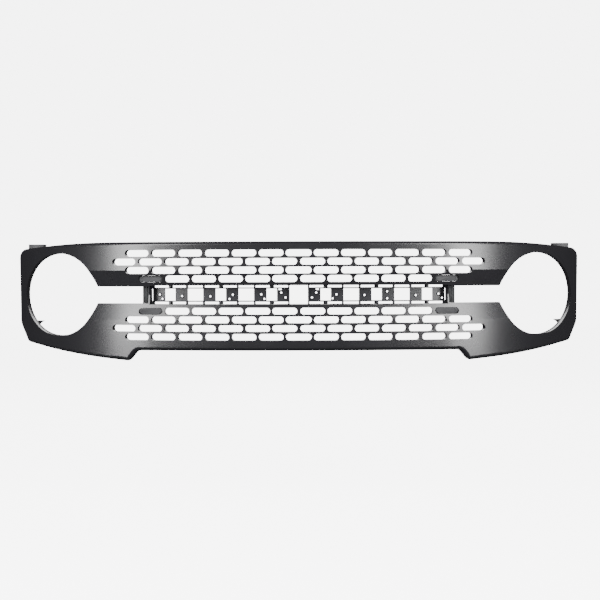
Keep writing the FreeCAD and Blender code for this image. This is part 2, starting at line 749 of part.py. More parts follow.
def lamp_bar_buffer():
    """Right ribbed rubber buffer on the end wall of the band, held by two pegs."""
    top = NOTCH_HALF_HEIGHT - FIT
    solid = between(box_face(NOTCH_END, NOTCH_END + BUFFER_WIDTH, -top, top), BUFFER_FRONT, BUFFER_BACK)
    space = BUFFER_WIDTH / (BUFFER_GROOVES + 1)
    for groove in range(BUFFER_GROOVES):
        left = NOTCH_END + (groove + 1) * space - BUFFER_GROOVE / 2
        face = box_face(left, left + BUFFER_GROOVE, -top - OVERLAP, top + OVERLAP)
        solid = solid.cut(between(face, BUFFER_FRONT - OVERLAP, BUFFER_FRONT + BUFFER_GROOVE))
    inward = Vector(-1, 0, 0)
    for z in (PEG_Z, -PEG_Z):
        reach = WALL + OVERLAP + PEG_HEAD_LENGTH
        peg = rod(NOTCH_END + OVERLAP, peg_y(), z, PEG_RADIUS, reach, inward)
        start = Vector(BAND_HALF, peg_y(), z)
        head = Part.makeCone(PEG_HEAD_RADIUS, PEG_TIP_RADIUS, PEG_HEAD_LENGTH, start, inward)
        solid = solid.fuse([peg, head])
    return solid


def lamp_locator():
    """Right locator: a plate screwed to its boss, with a pointed fin that shows in the lamp opening."""
    x, y, z = locator_place()
    radius = FRAME_SCREW[0] + FRAME_BOSS_WALL
    turn = math.radians(LOCATOR_ANGLE)
    aside, along = -radius * math.sin(turn), radius * math.cos(turn)
    corners = [(LAMP_X + across, up, 0) for across, up in (FIN_UNDER, FIN_TIP, FIN_TOP)]
    corners += [(x + aside, z + along, 0), (x - aside, z - along, 0)]
    plate = slab(rounded(corners), y, y + LOCATOR_PLATE).fuse(rod(x, y, z, radius, LOCATOR_PLATE))
    return plate.cut(screw_hole(x, y + LOCATOR_PLATE, z, FRAME_SCREW, LOCATOR_PLATE))


def corner_bracket():
    """Right bracket behind the top corner: a plate with a shelf on top that holds a nut."""
    x, y, top = bracket_place()
    left, up = x - BRACKET_HALF_WIDTH, top + BRACKET_UP
    wide = 2 * BRACKET_HALF_WIDTH
    tall = BRACKET_UP + BRACKET_DOWN
    solid = Part.makeBox(wide, BRACKET_THICKNESS, tall, Vector(left, y, up - tall))
    shelf_start = Vector(left, y, up - BRACKET_THICKNESS)
    solid = solid.fuse(Part.makeBox(wide, BRACKET_SHELF, BRACKET_THICKNESS, shelf_start))
    for edge in (left, left + wide - BRACKET_GUSSET):
        corners = [
            Vector(edge, y + OVERLAP, up - OVERLAP),
            Vector(edge, y + BRACKET_SHELF, up - OVERLAP),
            Vector(edge, y + OVERLAP, up - BRACKET_SHELF),
        ]
        side = Part.Face(Part.makePolygon(corners + corners[:1]))
        solid = solid.fuse(side.extrude(Vector(BRACKET_GUSSET, 0, 0)))
    nut_x, nut_y = bracket_nut_place()
    solid = solid.cut(Part.makeCylinder(NUT_BORE + NUT_FIT, tall, Vector(nut_x, nut_y, up - tall / 2)))
    for x, y, z in bracket_screws_at():
        solid = solid.cut(screw_hole(x, y + BRACKET_THICKNESS, z, FRAME_SCREW, BRACKET_THICKNESS))
    return solid


def bracket_nut_place():
    """Axis of the right bracket's nut."""
    x, y, top = bracket_place()
    return x, y + BRACKET_SHELF / 2 + BRACKET_THICKNESS


def bracket_nut():
    """Right weld nut under the bracket's shelf."""
    x, y = bracket_nut_place()
    under = bracket_place()[2] + BRACKET_UP - BRACKET_THICKNESS
    base = Vector(x, y, under - NUT_HEIGHT)
    turns = [math.radians(60 * corner) for corner in range(7)]
    points = [base + Vector(math.cos(turn), math.sin(turn), 0) * NUT_RADIUS for turn in turns]
    body = Part.Face(Part.makePolygon(points)).extrude(Vector(0, 0, NUT_HEIGHT))
    bore = Part.makeCylinder(NUT_BORE, NUT_HEIGHT + 2 * OVERLAP, base - Vector(0, 0, OVERLAP))
    return body.cut(bore)


def bracket_screws():
    """The right bracket's screws."""
    return [screw(x, y + BRACKET_THICKNESS, z, FRAME_SCREW) for x, y, z in bracket_screws_at()]


def locator_screw():
    """The right locator's screw."""
    x, y, z = locator_place()
    return screw(x, y + LOCATOR_PLATE, z, FRAME_SCREW)


def bushes():
    """The steel bushes in the right half of the top flange."""
    found = []
    for x in BOLT_HOLES_X:
        base = Vector(x, plan_y(x) + BOLT_LINE, TOP_Z - BUSH_HEIGHT)
        tube = Part.makeCylinder(BUSH_RADIUS, BUSH_HEIGHT, base)
        found.append(tube.cut(Part.makeCylinder(BOLT_RADIUS, BUSH_HEIGHT, base)))
    return found


def spring_clip(x, z, end):
    """Folded sheet clip pushed on a blade from behind, with a barbed wing above and below."""
    half = BLADE_THICKNESS / 2
    outer = half + CLIP_SHEET
    wing = half + CLIP_WING
    mouth, root, barb = end - CLIP_LENGTH, end - CLIP_MOUTH, end - 2 * CLIP_MOUTH
    upper = [(end, 0), (end, half), (mouth, half), (mouth, outer), (root, outer)]
    upper += [(barb, wing), (barb, wing + CLIP_SHEET), (end + CLIP_SHEET, outer)]
    points = upper + [(y, -height) for y, height in reversed(upper[1:])]
    wire = Part.makePolygon([Vector(x - CLIP_WIDTH / 2, y, z + height) for y, height in points + points[:1]])
    return Part.Face(wire).extrude(Vector(CLIP_WIDTH, 0, 0))


def spring_clips():
    """The clips on the right half's blades."""
    return [spring_clip(x, z, end) for x, z, end in blades()]


# ---------------------------------------------------------------- all nodes


def group(shapes):
    """Separate solids that share one node."""
    return Part.Compound([solid for shape in shapes for solid in shape.Solids])


def nodes():
    """Every node of the part, drawn about the centre of the band."""
    made = {"grille_shell": grille_shell()}
    made["letter_carrier_right"] = letter_carrier(RIGHT_PINS)
    made["letter_carrier_left"] = mirrored(letter_carrier(LEFT_PINS))
    pairs = {
        "carrier_screws": group(carrier_screws()),
        "lamp_bar_buffer": lamp_bar_buffer(),
        "slot_blank_upper": slot_blank(1),
        "slot_blank_lower": slot_blank(-1),
        "lamp_locator": lamp_locator(),
        "corner_bracket": corner_bracket(),
        "bracket_screws": group(bracket_screws()),
    }
    for name, shape in pairs.items():
        made[name + "_right"] = shape
        made[name + "_left"] = mirrored(shape)
    made["locator_screws"] = group(both(locator_screw()))
    made["bracket_nuts"] = group(both(bracket_nut()))
    made["top_bolt_bushes"] = group(bushes() + [mirrored(bush) for bush in bushes()])
    made["lower_spring_clips"] = group(spring_clips() + [mirrored(clip) for clip in spring_clips()])
    return made


def main():
    """Builds every node, moves it to the part's frame and writes it."""
    os.makedirs("parts", exist_ok=True)
    origin = Vector(0, plan_y(BOLT_HOLES_X[0]) + BOLT_LINE, TOP_Z)
    for name, shape in nodes().items():
        shape.translate(origin * -1)
        shape.exportStep("parts/" + name + ".step")
        print(name, len(shape.Solids), "solids", round(shape.Volume / 1000, 2), "cm3", shape.isValid())


main()
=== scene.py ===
"""Looks of the front grille: meshes, finishes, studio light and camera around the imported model."""

from dataclasses import dataclass, field
from enum import Enum
import json
import logging
import math

import bmesh
import bpy
from mathutils import Euler, Matrix, Vector
import numpy as np


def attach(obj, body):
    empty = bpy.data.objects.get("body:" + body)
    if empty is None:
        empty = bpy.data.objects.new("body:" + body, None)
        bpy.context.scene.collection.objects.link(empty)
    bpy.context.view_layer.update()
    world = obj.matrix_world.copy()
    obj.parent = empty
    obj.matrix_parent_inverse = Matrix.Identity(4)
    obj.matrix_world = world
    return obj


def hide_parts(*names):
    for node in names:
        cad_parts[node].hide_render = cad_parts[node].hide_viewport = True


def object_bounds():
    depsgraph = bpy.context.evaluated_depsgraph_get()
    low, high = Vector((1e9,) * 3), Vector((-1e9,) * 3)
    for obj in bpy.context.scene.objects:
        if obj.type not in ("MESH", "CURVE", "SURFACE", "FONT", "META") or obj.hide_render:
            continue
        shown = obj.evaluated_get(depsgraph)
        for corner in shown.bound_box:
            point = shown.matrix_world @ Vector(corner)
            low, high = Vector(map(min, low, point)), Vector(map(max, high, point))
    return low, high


LOG = logging.getLogger("grille")
BODY = "root"
MM = 0.001
SHARPEST_SMOOTH = math.radians(38)
JOIN_WITHIN = 2e-6
FLAT_WITHIN = 0.002

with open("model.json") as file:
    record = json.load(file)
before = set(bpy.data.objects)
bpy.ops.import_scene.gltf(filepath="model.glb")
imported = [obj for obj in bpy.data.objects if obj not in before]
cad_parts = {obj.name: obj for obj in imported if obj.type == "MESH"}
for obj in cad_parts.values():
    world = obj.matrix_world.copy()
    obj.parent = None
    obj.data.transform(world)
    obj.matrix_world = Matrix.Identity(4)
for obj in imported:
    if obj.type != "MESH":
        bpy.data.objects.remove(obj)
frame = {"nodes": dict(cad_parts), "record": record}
CAD_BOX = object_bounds()


# ---------------------------------------------------------------- shader node groups


class Waves(Enum):
    """How many times each texture repeats in a metre."""

    GRAIN = 1500.0
    PITS = 1100.0
    FLOW = 7.0
    RUBBED = 140.0
    SPECKS = 420.0
    SPANGLE = 380.0


LINE_STRETCH = (60.0, 2600.0, 2600.0)


class Sockets(Enum):
    """Kinds of socket that a shader group can have."""

    VALUE = "NodeSocketFloat"
    COLOUR = "NodeSocketColor"


class ShaderGroup:
    """A shader node group with named inputs and outputs, built once and placed many times."""

    def __init__(self, name: str, inputs: dict[str, float], outputs: dict[str, Sockets]) -> None:
        """Makes the empty group.

        Args:
            name: Name of the group.
            inputs: Name and default of each number that goes in.
            outputs: Name and kind of each thing that comes out.
        """
        self.tree = bpy.data.node_groups.new(name, "ShaderNodeTree")
        for label, default in inputs.items():
            socket = self.tree.interface.new_socket(
                name=label, in_out="INPUT", socket_type=Sockets.VALUE.value
            )
            socket.default_value = default
        for label, kind in outputs.items():
            self.tree.interface.new_socket(name=label, in_out="OUTPUT", socket_type=kind.value)
        self.start = self.tree.nodes.new("NodeGroupInput")
        self.end = self.tree.nodes.new("NodeGroupOutput")

    def node(self, kind: str, **settings: object) -> bpy.types.Node:
        """Adds a node and sets its properties.

        Args:
            kind: The node's type.
            settings: Properties of the node, by name.

        Returns:
            The new node.
        """
        made = self.tree.nodes.new(kind)
        for label, value in settings.items():
            setattr(made, label, value)
        return made

    def link(self, source: bpy.types.NodeSocket, target: bpy.types.NodeSocket) -> None:
        """Joins two sockets."""
        self.tree.links.new(source, target)

    def coordinates(self) -> bpy.types.NodeSocket:
        """Gives the object's own coordinates, in metres."""
        return self.node("ShaderNodeTexCoord").outputs["Object"]

    def noise(self, waves: Waves, detail: float) -> bpy.types.NodeSocket:
        """Adds a noise texture on the object's own coordinates.

        Args:
            waves: How fine it is.
            detail: Number of finer layers.

        Returns:
            The texture's value.
        """
        made = self.node("ShaderNodeTexNoise")
        made.inputs["Scale"].default_value = waves.value
        made.inputs["Detail"].default_value = detail
        self.link(self.coordinates(), made.inputs["Vector"])
        return made.outputs["Fac"]

    def cells(self, waves: Waves) -> bpy.types.NodeSocket:
        """Adds a cell texture on the object's own coordinates.

        Args:
            waves: How fine it is.

        Returns:
            The distance from the middle of each cell.
        """
        made = self.node("ShaderNodeTexVoronoi", feature="F1")
        made.inputs["Scale"].default_value = waves.value
        self.link(self.coordinates(), made.inputs["Vector"])
        return made.outputs["Distance"]

    def ramp(self, source: bpy.types.NodeSocket, low: float, high: float) -> bpy.types.NodeSocket:
        """Stretches a value so that low becomes 0 and high becomes 1.

        Args:
            source: The value.
            low: What becomes 0.
            high: What becomes 1.

        Returns:
            The stretched value, held between 0 and 1.
        """
        made = self.node("ShaderNodeMapRange")
        made.inputs["From Min"].default_value = low
        made.inputs["From Max"].default_value = high
        self.link(source, made.inputs["Value"])
        return made.outputs["Result"]

    def maths(self, operation: str, first: bpy.types.NodeSocket, second: object) -> bpy.types.NodeSocket:
        """Adds a maths node.

        Args:
            operation: The node's operation.
            first: First value.
            second: Second value, a socket or a number.

        Returns:
            The result.
        """
        made = self.node("ShaderNodeMath", operation=operation)
        self.link(first, made.inputs[0])
        if isinstance(second, bpy.types.NodeSocket):
            self.link(second, made.inputs[1])
        else:
            made.inputs[1].default_value = second
        return made.outputs[0]


def mould_grain_group() -> bpy.types.NodeTree:
    """Fine spark-eroded grain of a mould, with broad flow marks.

    Returns:
        A group that puts out a height for the grain and a tone for the flow marks.
    """
    group = ShaderGroup(
        "mould_grain",
        {"Grain": 1.0, "Flow": 1.0},
        {"Height": Sockets.VALUE, "Tone": Sockets.VALUE},
    )
    fine = group.noise(Waves.GRAIN, 3.0)
    pits = group.maths("MULTIPLY", group.cells(Waves.PITS), fine)
    group.link(group.maths("MULTIPLY", pits, group.start.outputs["Grain"]), group.end.inputs["Height"])
    broad = group.ramp(group.noise(Waves.FLOW, 4.0), 0.3, 0.7)
    group.link(group.maths("MULTIPLY", broad, group.start.outputs["Flow"]), group.end.inputs["Tone"])
    return group.tree


def edge_polish_group() -> bpy.types.NodeTree:
    """Mask of the outer edges, broken up by noise, where a surface is rubbed bright.

    Returns:
        A group that puts out a mask.
    """
    group = ShaderGroup("edge_polish", {"Amount": 1.0}, {"Mask": Sockets.VALUE})
    sharp = group.ramp(group.node("ShaderNodeNewGeometry").outputs["Pointiness"], 0.515, 0.58)
    broken = group.ramp(group.noise(Waves.RUBBED, 5.0), 0.35, 0.65)
    mask = group.maths("MULTIPLY", sharp, broken)
    group.link(group.maths("MULTIPLY", mask, group.start.outputs["Amount"]), group.end.inputs["Mask"])
    return group.tree


def dust_group() -> bpy.types.NodeTree:
    """Mask of the faces that look up, where a little dust settles.

    Returns:
        A group that puts out a mask.
    """
    group = ShaderGroup("settled_dust", {"Amount": 1.0}, {"Mask": Sockets.VALUE})
    parts = group.node("ShaderNodeSeparateXYZ")
    group.link(group.node("ShaderNodeNewGeometry").outputs["Normal"], parts.inputs[0])
    upward = group.ramp(parts.outputs["Z"], 0.55, 1.0)
    specks = group.ramp(group.noise(Waves.SPECKS, 6.0), 0.42, 0.75)
    mask = group.maths("MULTIPLY", upward, specks)
    group.link(group.maths("MULTIPLY", mask, group.start.outputs["Amount"]), group.end.inputs["Mask"])
    return group.tree


def brushed_group() -> bpy.types.NodeTree:
    """Drawn lines and spangle of plated sheet steel.

    Returns:
        A group that puts out a height and a tone.
    """
    group = ShaderGroup(
        "plated_lines", {"Lines": 1.0}, {"Height": Sockets.VALUE, "Tone": Sockets.VALUE}
    )
    stretch = group.node("ShaderNodeMapping")
    stretch.inputs["Scale"].default_value = LINE_STRETCH
    group.link(group.coordinates(), stretch.inputs["Vector"])
    lines = group.node("ShaderNodeTexNoise")
    lines.inputs["Scale"].default_value = 1.0
    lines.inputs["Detail"].default_value = 4.0
    group.link(stretch.outputs["Vector"], lines.inputs["Vector"])
    scaled = group.maths("MULTIPLY", lines.outputs["Fac"], group.start.outputs["Lines"])
    group.link(scaled, group.end.inputs["Height"])
    group.link(group.ramp(group.cells(Waves.SPANGLE), 0.0, 0.8), group.end.inputs["Tone"])
    return group.tree


# ---------------------------------------------------------------- finishes


Colour = tuple[float, float, float]
DUST_COLOUR = (0.32, 0.31, 0.29)
COAT_ROUGHNESS = 0.3


@dataclass(frozen=True)
class Finish:
    """A procedural finish: a base colour with marks, a roughness that varies and a fine relief.

    Attributes:
        name: Name of the material.
        colour: Base colour, linear.
        marked: Colour of the flow marks or spangle.
        polished: Colour of rubbed edges.
        roughness: Lowest and highest roughness.
        relief: Depth of the grain in metres.
        metallic: 1 for bare metal.
        specular: Specular level.
        coat: Weight of a clear coat.
        lines: Whether the relief is drawn lines instead of mould grain.
        flow: How strong the marks are.
        wear: How strong the rubbed edges are.
        dust: How much dust lies on top.
    """

    name: str
    colour: Colour
    marked: Colour
    polished: Colour
    roughness: tuple[float, float]
    relief: float = 0.000003
    metallic: float = 0.0
    specular: float = 0.5
    coat: float = 0.0
    lines: bool = False
    flow: float = 1.0
    wear: float = 0.5
    dust: float = 0.12

    def material(self, groups: "Groups") -> bpy.types.Material:
        """Builds the material.

        Args:
            groups: The shared shader groups.

        Returns:
            The material.
        """
        made = bpy.data.materials.new(self.name)
        made.use_nodes = True
        nodes, links = made.node_tree.nodes, made.node_tree.links
        shader = nodes["Principled BSDF"]
        shader.inputs["Metallic"].default_value = self.metallic
        shader.inputs["Specular IOR Level"].default_value = self.specular
        shader.inputs["Coat Weight"].default_value = self.coat
        shader.inputs["Coat Roughness"].default_value = COAT_ROUGHNESS

        def placed(tree: bpy.types.NodeTree, **values: float) -> bpy.types.Node:
            """Places a shared group with its own values.

            Args:
                tree: The group.
                values: Its inputs, by name.

            Returns:
                The placed node.
            """
            node = nodes.new("ShaderNodeGroup")
            node.node_tree = tree
            for label, value in values.items():
                node.inputs[label].default_value = value
            return node

        def mixed(factor: bpy.types.NodeSocket, first: object, second: Colour) -> bpy.types.NodeSocket:
            """Mixes two colours by a mask.

            Args:
                factor: The mask.
                first: The colour where the mask is 0, as a socket or a value.
                second: The colour where the mask is 1.

            Returns:
                The mixed colour.
            """
            node = nodes.new("ShaderNodeMix")
            node.data_type = "RGBA"
            links.new(factor, node.inputs["Factor"])
            if isinstance(first, bpy.types.NodeSocket):
                links.new(first, node.inputs["A"])
            else:
                node.inputs["A"].default_value = (*first, 1.0)
            node.inputs["B"].default_value = (*second, 1.0)
            return node.outputs["Result"]

        if self.lines:
            texture = placed(groups.brushed, Lines=1.0)
        else:
            texture = placed(groups.grain, Grain=1.0, Flow=self.flow)
        wear = placed(groups.edges, Amount=self.wear)
        dust = placed(groups.dust, Amount=self.dust)
        tone = mixed(texture.outputs["Tone"], self.colour, self.marked)
        tone = mixed(wear.outputs["Mask"], tone, self.polished)
        tone = mixed(dust.outputs["Mask"], tone, DUST_COLOUR)
        links.new(tone, shader.inputs["Base Color"])
        rough = nodes.new("ShaderNodeMapRange")
        rough.inputs["To Min"].default_value = self.roughness[0]
        rough.inputs["To Max"].default_value = self.roughness[1]
        links.new(texture.outputs["Tone"], rough.inputs["Value"])
        links.new(rough.outputs["Result"], shader.inputs["Roughness"])
        bump = nodes.new("ShaderNodeBump")
        bump.inputs["Distance"].default_value = self.relief
        links.new(texture.outputs["Height"], bump.inputs["Height"])
        links.new(bump.outputs["Normal"], shader.inputs["Normal"])
        return made


@dataclass(frozen=True)
class Groups:
    """The shader groups that the finishes share."""

    grain: bpy.types.NodeTree
    edges: bpy.types.NodeTree
    dust: bpy.types.NodeTree
    brushed: bpy.types.NodeTree


class Palette:
    """Every finish of the grille, by the record's material slot."""

    FINISHES = {
        "shell_plastic": Finish(
            name="satin_charcoal_plastic",
            colour=(0.012, 0.0118, 0.0135),
            marked=(0.0135, 0.013, 0.015),
            polished=(0.03, 0.0295, 0.033),
            roughness=(0.25, 0.29),
            relief=0.0000016,
            specular=0.6,
            dust=0.03,
            wear=0.12,
        ),
        "carrier_plastic": Finish(
            name="carrier_plastic",
            colour=(0.016, 0.016, 0.019),
            marked=(0.019, 0.019, 0.022),
            polished=(0.04, 0.04, 0.045),
            roughness=(0.30, 0.36),
            relief=0.000002,
            specular=0.6,
            dust=0.04,
            wear=0.15,
        ),
        "blank_plastic": Finish(
            name="blank_plastic",
            colour=(0.032, 0.032, 0.035),
            marked=(0.038, 0.038, 0.041),
            polished=(0.11, 0.11, 0.115),
            roughness=(0.5, 0.58),
            specular=0.3,
            wear=0.5,
            dust=0.06,
        ),
        "locator_plastic": Finish(
            name="black_acetal",
            colour=(0.012, 0.012, 0.013),
            marked=(0.016, 0.016, 0.017),
            polished=(0.03, 0.03, 0.03),
            roughness=(0.3, 0.4),
            wear=0.15,
            dust=0.05,
        ),
        "buffer_rubber": Finish(
            name="moulded_rubber",
            colour=(0.034, 0.035, 0.037),
            marked=(0.044, 0.045, 0.047),
            polished=(0.06, 0.06, 0.062),
            roughness=(0.68, 0.82),
            relief=0.00001,
            specular=0.3,
            wear=0.2,
            dust=0.12,
        ),
        "coated_steel": Finish(
            name="dip_coated_steel",
            colour=(0.018, 0.018, 0.02),
            marked=(0.024, 0.024, 0.026),
            polished=(0.07, 0.07, 0.072),
            roughness=(0.45, 0.58),
            specular=0.35,
            wear=0.25,
            dust=0.05,
        ),
        "black_zinc_steel": Finish(
            name="black_zinc",
            colour=(0.045, 0.045, 0.05),
            marked=(0.07, 0.07, 0.075),
            polished=(0.35, 0.35, 0.34),
            roughness=(0.3, 0.45),
            metallic=0.7,
            lines=True,
            wear=0.8,
        ),
        "plated_steel": Finish(
            name="bright_zinc",
            colour=(0.56, 0.57, 0.56),
            marked=(0.44, 0.45, 0.45),
            polished=(0.8, 0.8, 0.78),
            roughness=(0.25, 0.42),
            metallic=1.0,
            lines=True,
            wear=0.6,
        ),
        "spring_steel": Finish(
            name="zinc_flake_spring_steel",
            colour=(0.24, 0.245, 0.25),
            marked=(0.33, 0.335, 0.34),
            polished=(0.55, 0.55, 0.54),
            roughness=(0.38, 0.55),
            metallic=1.0,
            lines=True,
            wear=0.7,
        ),
    }

    def __init__(self) -> None:
        """Builds the groups once and a material for each finish."""
        groups = Groups(mould_grain_group(), edge_polish_group(), dust_group(), brushed_group())
        self.materials = {slot: finish.material(groups) for slot, finish in self.FINISHES.items()}

    def dress(self, piece: bpy.types.Object, slot: str) -> None:
        """Gives a piece the material of a slot.

        Args:
            piece: The piece.
            slot: The record's material slot.
        """
        piece.data.materials.clear()
        piece.data.materials.append(self.materials[slot])


# ---------------------------------------------------------------- pieces that repeat


def merged_copy(node: str) -> bmesh.types.BMesh:
    """Copies a node's mesh and joins its loose triangles.

    Args:
        node: The design's node.

    Returns:
        The joined mesh, which the caller frees.
    """
    work = bmesh.new()
    work.from_mesh(frame["nodes"][node].data)
    bmesh.ops.remove_doubles(work, verts=work.verts, dist=JOIN_WITHIN)
    return work


def separate_boxes(node: str) -> list[tuple[Vector, Vector]]:
    """Finds the box of each separate solid in a node.

    Args:
        node: The design's node.

    Returns:
        The lowest and highest corner of each solid, from left to right.
    """
    work = merged_copy(node)
    left = set(work.verts)
    boxes = []
    while left:
        front = [left.pop()]
        low, high = front[0].co.copy(), front[0].co.copy()
        while front:
            here = front.pop()
            low = Vector(map(min, low, here.co))
            high = Vector(map(max, high, here.co))
            for edge in here.link_edges:
                other = edge.other_vert(here)
                if other in left:
                    left.discard(other)
                    front.append(other)
        boxes.append((low, high))
    work.free()
    return sorted(boxes, key=lambda box: (round(box[0].x, 4), box[0].z))


def joined_piece(rough: bpy.types.Object, node: str, slot: str, palette: Palette) -> bpy.types.Object:
    """Turns an object with live modifiers into a plain finished piece in a node's place.

    Args:
        rough: The object, which is removed.
        node: The design's node that the piece stands for.
        slot: The material slot.
        palette: The finishes.

    Returns:
        The finished piece.
    """
    graph = bpy.context.evaluated_depsgraph_get()
    finished = bpy.data.meshes.new_from_object(rough.evaluated_get(graph))
    bpy.data.objects.remove(rough)
    finished.shade_smooth()
    finished.set_sharp_from_angle(angle=SHARPEST_SMOOTH)
    piece = bpy.data.objects.new(node + "_piece", finished)
    bpy.context.scene.collection.objects.link(piece)
    palette.dress(piece, slot)
    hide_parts(node)
    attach(piece, BODY)
    return piece


class RepeatTree:
    """A Geometry Nodes tree that sets one made shape on every vertex of a mesh, all facing one way."""

    def __init__(self, name: str, sizes: tuple[str, ...]) -> None:
        """Makes the empty tree.

        Args:
            name: Name of the tree.
            sizes: Names of its lengths, in metres.
        """
        self.tree = bpy.data.node_groups.new(name, "GeometryNodeTree")
        sockets = self.tree.interface
        sockets.new_socket(name="Geometry", in_out="OUTPUT", socket_type="NodeSocketGeometry")
        sockets.new_socket(name="Geometry", in_out="INPUT", socket_type="NodeSocketGeometry")
        self.labels = {}
        for size in sizes:
            made = sockets.new_socket(name=size, in_out="INPUT", socket_type="NodeSocketFloat")
            self.labels[size] = made.identifier
        finish = sockets.new_socket(name="Finish", in_out="INPUT", socket_type="NodeSocketMaterial")
        self.labels["Finish"] = finish.identifier
        self.start = self.tree.nodes.new("NodeGroupInput")
        self.end = self.tree.nodes.new("NodeGroupOutput")

    def node(self, kind: str, settings: dict[str, object] | None = None, **inputs: object) -> bpy.types.Node:
        """Adds a node.

        Args:
            kind: The node's type.
            settings: Properties of the node.
            inputs: Values or sockets for its inputs, with _ for a space in the name.

        Returns:
            The new node.
        """
        made = self.tree.nodes.new(kind)
        for label, value in (settings or {}).items():
            setattr(made, label, value)
        for label, value in inputs.items():
            self.feed(made.inputs[label.replace("_", " ")], value)
        return made

    def feed(self, target: bpy.types.NodeSocket, value: object) -> None:
        """Links a socket to a node's input, or sets the input's own value."""
        if isinstance(value, bpy.types.NodeSocket):
            self.tree.links.new(value, target)
        else:
            target.default_value = value

    def size(self, label: str) -> bpy.types.NodeSocket:
        """Gives one of the tree's named lengths."""
        return self.start.outputs[label]

    def times(self, first: bpy.types.NodeSocket, second: object) -> bpy.types.NodeSocket:
        """Multiplies two numbers.

        Args:
            first: A socket.
            second: A socket or a number.

        Returns:
            The product.
        """
        made = self.node("ShaderNodeMath", {"operation": "MULTIPLY"})
        self.feed(made.inputs[0], first)
        self.feed(made.inputs[1], second)
        return made.outputs[0]

    def upward(self, height: bpy.types.NodeSocket) -> bpy.types.NodeSocket:
        """Makes a vector of a height."""
        return self.node("ShaderNodeCombineXYZ", Z=height).outputs[0]

    def moved(self, shape: bpy.types.NodeSocket, height: bpy.types.NodeSocket) -> bpy.types.NodeSocket:
        """Moves a shape up by a height."""
        return self.node("GeometryNodeTransform", Geometry=shape, Translation=self.upward(height)).outputs[0]

    def close(self, shape: bpy.types.NodeSocket, turn: Euler) -> None:
        """Sets the shape on every vertex and ends the tree.

        Args:
            shape: The shape, with its axis along Z.
            turn: How each copy is turned.
        """
        placed = self.node(
            "GeometryNodeInstanceOnPoints", Points=self.start.outputs["Geometry"], Instance=shape
        )
        placed.inputs["Rotation"].default_value = turn
        real = self.node("GeometryNodeRealizeInstances", Geometry=placed.outputs["Instances"])
        dressed = self.node(
            "GeometryNodeSetMaterial", Geometry=real.outputs[0], Material=self.start.outputs["Finish"]
        )
        self.tree.links.new(dressed.outputs[0], self.end.inputs["Geometry"])

    def fill(
        self, node: str, places: list[Vector], sizes: dict[str, float], slot: str, palette: Palette
    ) -> bpy.types.Object:
        """Builds the pieces of one node.

        Args:
            node: The design's node.
            places: Where each copy goes.
            sizes: The tree's lengths.
            slot: The material slot.
            palette: The finishes.

        Returns:
            The finished piece.
        """
        points = bpy.data.meshes.new(node + "_points")
        points.from_pydata(places, [], [])
        rough = bpy.data.objects.new(node + "_rough", points)
        bpy.context.scene.collection.objects.link(rough)
        modifier = rough.modifiers.new("copies", "NODES")
        modifier.node_group = self.tree
        for label, value in sizes.items():
            modifier[self.labels[label]] = value
        modifier[self.labels["Finish"]] = palette.materials[slot]
        return joined_piece(rough, node, slot, palette)


